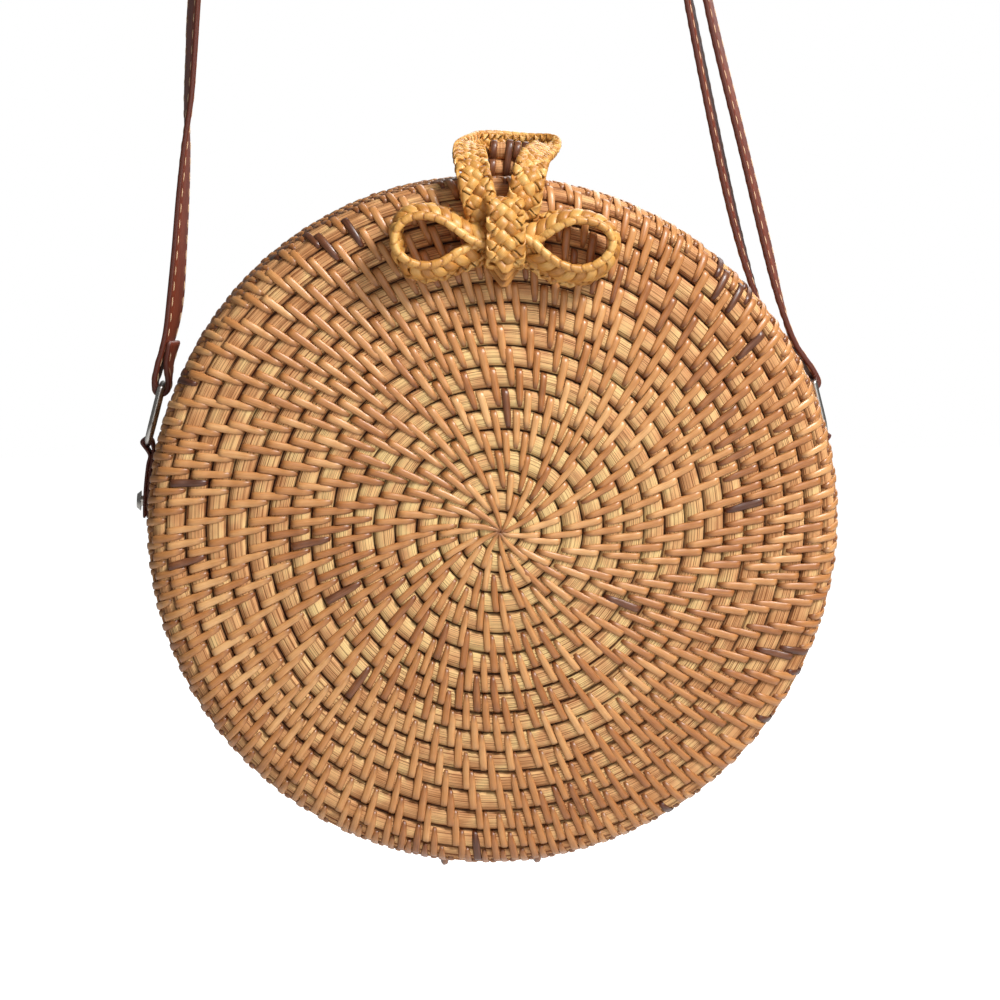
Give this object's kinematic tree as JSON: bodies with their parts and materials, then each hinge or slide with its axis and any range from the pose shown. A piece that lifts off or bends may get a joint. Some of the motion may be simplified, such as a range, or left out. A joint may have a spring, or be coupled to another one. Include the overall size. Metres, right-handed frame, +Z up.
{
  "type": "round woven cross-body bag",
  "caption": "Round coiled-rattan bag that opens like a clamshell, with a plaited bow whose loop closes over a tongue, and a long leather strap on metal rings.",
  "frame": {"origin": "the point under the top of the strap where a shoulder or hook carries it, in the middle of the strap's width", "axes": "+Z up along the hanging bag, -Y towards the front shell with the bow, +X to the right seen from the front"},
  "size_m": [0.2082, 0.0843, 0.6189],
  "materials": {
    "rattan": "semi-gloss coiled rattan, caramel with pale cores",
    "dark_rattan": "semi-gloss dark brown rattan splint",
    "plaited_straw": "shiny golden plaited straw",
    "cotton_lining": "plain woven cotton",
    "strap_leather": "glossy chestnut leather with pale edge stitching",
    "nickel": "polished nickel"
  },
  "bodies": {
    "strap": {"strap": "strap_leather", "strap_return": "strap_leather", "strap_ring_left": "nickel", "strap_ring_right": "nickel"},
    "slide": {"strap_slide": "nickel", "slide_fold": "strap_leather"},
    "back": {"back_shell": "rattan", "back_lining": "cotton_lining", "hinge_ring_left": "dark_rattan", "hinge_ring_right": "dark_rattan", "catch_tongue": "dark_rattan", "strap_tab_left": "strap_leather", "strap_tab_right": "strap_leather", "tab_rivet_left": "nickel", "tab_rivet_right": "nickel"},
    "front": {"front_shell": "rattan", "front_lining": "cotton_lining", "bow_knot": "plaited_straw", "bow_wing_left": "plaited_straw", "bow_wing_right": "plaited_straw", "loop_limb_left": "plaited_straw", "loop_limb_right": "plaited_straw"},
    "loop": {"catch_loop": "plaited_straw"}
  },
  "joints": [
    {"name": "bag_swing", "type": "hinge", "parent": "strap", "child": "back", "pos_m": [0.04, 0, -0.48176], "axis": [1, 0, 0], "range_deg": [-20, 20]},
    {"name": "lid_open", "type": "hinge", "parent": "back", "child": "front", "pos_m": [0.04, -0.005, -0.6102], "axis": [1, 0, 0], "range_deg": [0, 110]},
    {"name": "loop_lift", "type": "hinge", "parent": "front", "child": "loop", "pos_m": [0.0472, -0.0372, -0.4104], "axis": [1, 0, 0], "range_deg": [0, 135]},
    {"name": "slide_adjust", "type": "slide", "parent": "strap", "child": "slide", "axis": [0.2616, 0, -0.9652], "range_m": [0, 0.12], "deforming": ["strap_return"]}
  ]
}
